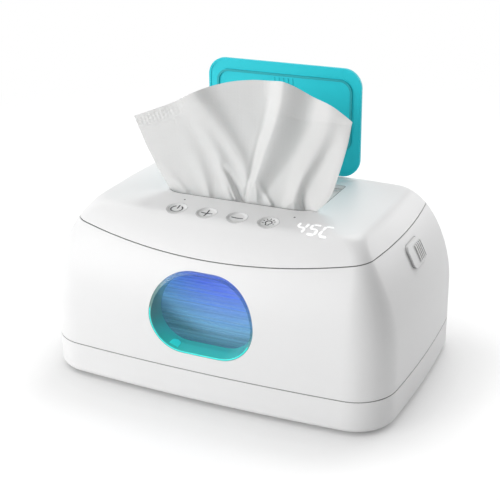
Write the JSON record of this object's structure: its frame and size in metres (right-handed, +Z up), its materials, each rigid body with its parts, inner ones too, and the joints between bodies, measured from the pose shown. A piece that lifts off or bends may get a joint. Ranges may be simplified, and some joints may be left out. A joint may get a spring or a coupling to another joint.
{
  "type": "baby wipe warmer",
  "caption": "Countertop baby wipe warmer with a hinged lid, teal flip cover over the dispensing opening, front viewing window, top buttons, display and side latches.",
  "frame": {"origin": "centre of the footprint, on the surface the feet stand on", "axes": "+Z up, -Y out of the front with the window and controls, +X to the right side seen from the front"},
  "size_m": [0.25, 0.1704, 0.1992],
  "materials": {
    "white_plastic": "satin white moulded plastic",
    "tank_plastic": "pale teal moulded plastic",
    "teal_plastic": "opaque teal, satin",
    "teal_silicone": "soft seal in the cover's colour",
    "clear_teal": "see-through teal",
    "soft_seal": "soft silicone",
    "foot_rubber": "soft, dull",
    "steel": "plain steel",
    "heater_aluminium": "rolled sheet",
    "heater_film": "amber film with printed tracks",
    "dark_plastic": "dull black",
    "fuse_body": "white ceramic",
    "circuit_board": "green board with tracks",
    "light_plastic": "milky light-spreading plastic",
    "wire_jacket": "coloured jackets",
    "wipe_cloth": "soft non-woven cloth"
  },
  "bodies": {
    "base": {"base_tray": "white_plastic", "rubber_feet": "foot_rubber", "base_screws": "steel", "main_housing": "white_plastic", "window_cup": "clear_teal", "inner_tank": "tank_plastic", "wipe_stack": "wipe_cloth", "heater_plate": "heater_aluminium", "heating_film": "heater_film", "thermistor": "dark_plastic", "thermal_fuse": "fuse_body", "main_board": "circuit_board", "board_screws": "steel", "board_components": "dark_plastic", "power_inlet": "dark_plastic", "night_light_board": "circuit_board", "night_light_lamps": "light_plastic", "lead_wires": "wire_jacket", "main_hinge_pins": "steel", "left_latch_spring": "steel", "right_latch_spring": "steel"},
    "lid": {"lid_shell": "white_plastic", "dispenser_funnel": "white_plastic", "lid_liner": "white_plastic", "lid_seal": "soft_seal", "lid_screws": "steel", "control_board": "circuit_board", "control_board_screws": "steel", "key_switches": "dark_plastic", "display_module": "dark_plastic", "indicator_pipes": "light_plastic", "cover_hinge_pin": "steel", "pulled_wipe": "wipe_cloth"},
    "cover": {"flip_cover": "teal_plastic", "cover_seal": "teal_silicone"},
    "left_catch": {"left_latch": "white_plastic"},
    "right_catch": {"right_latch": "white_plastic"},
    "power_key": {"power_button": "white_plastic"},
    "plus_key": {"plus_button": "white_plastic"},
    "minus_key": {"minus_button": "white_plastic"},
    "light_key": {"light_button": "white_plastic"}
  },
  "joints": [
    {"name": "main_lid_hinge", "type": "hinge", "parent": "base", "child": "lid", "pos_m": [0, 0.07492, 0.10481], "axis": [-1, 0, 0], "range_deg": [0, 100]},
    {"name": "flip_cover_hinge", "type": "hinge", "parent": "lid", "child": "cover", "pos_m": [0, 0.045, 0.1205], "axis": [1, 0, 0], "range_deg": [0, 90], "deforming": ["pulled_wipe"]},
    {"name": "power_button_press", "type": "slide", "parent": "lid", "child": "power_key", "axis": [0, 0.1317, -0.9913], "range_m": [0, 0.0006], "stiffness_N_per_m": 800},
    {"name": "plus_button_press", "type": "slide", "parent": "lid", "child": "plus_key", "axis": [0, 0.1317, -0.9913], "range_m": [0, 0.0006], "stiffness_N_per_m": 800},
    {"name": "minus_button_press", "type": "slide", "parent": "lid", "child": "minus_key", "axis": [0, 0.1317, -0.9913], "range_m": [0, 0.0006], "stiffness_N_per_m": 800},
    {"name": "light_button_press", "type": "slide", "parent": "lid", "child": "light_key", "axis": [0, 0.1317, -0.9913], "range_m": [0, 0.0006], "stiffness_N_per_m": 800},
    {"name": "left_latch_press", "type": "slide", "parent": "base", "child": "left_catch", "axis": [1, 0, 0], "range_m": [0, 0.0025], "stiffness_N_per_m": 400, "deforming": ["left_latch_spring"]},
    {"name": "right_latch_press", "type": "slide", "parent": "base", "child": "right_catch", "axis": [-1, 0, 0], "range_m": [0, 0.0025], "stiffness_N_per_m": 400, "deforming": ["right_latch_spring"]}
  ]
}
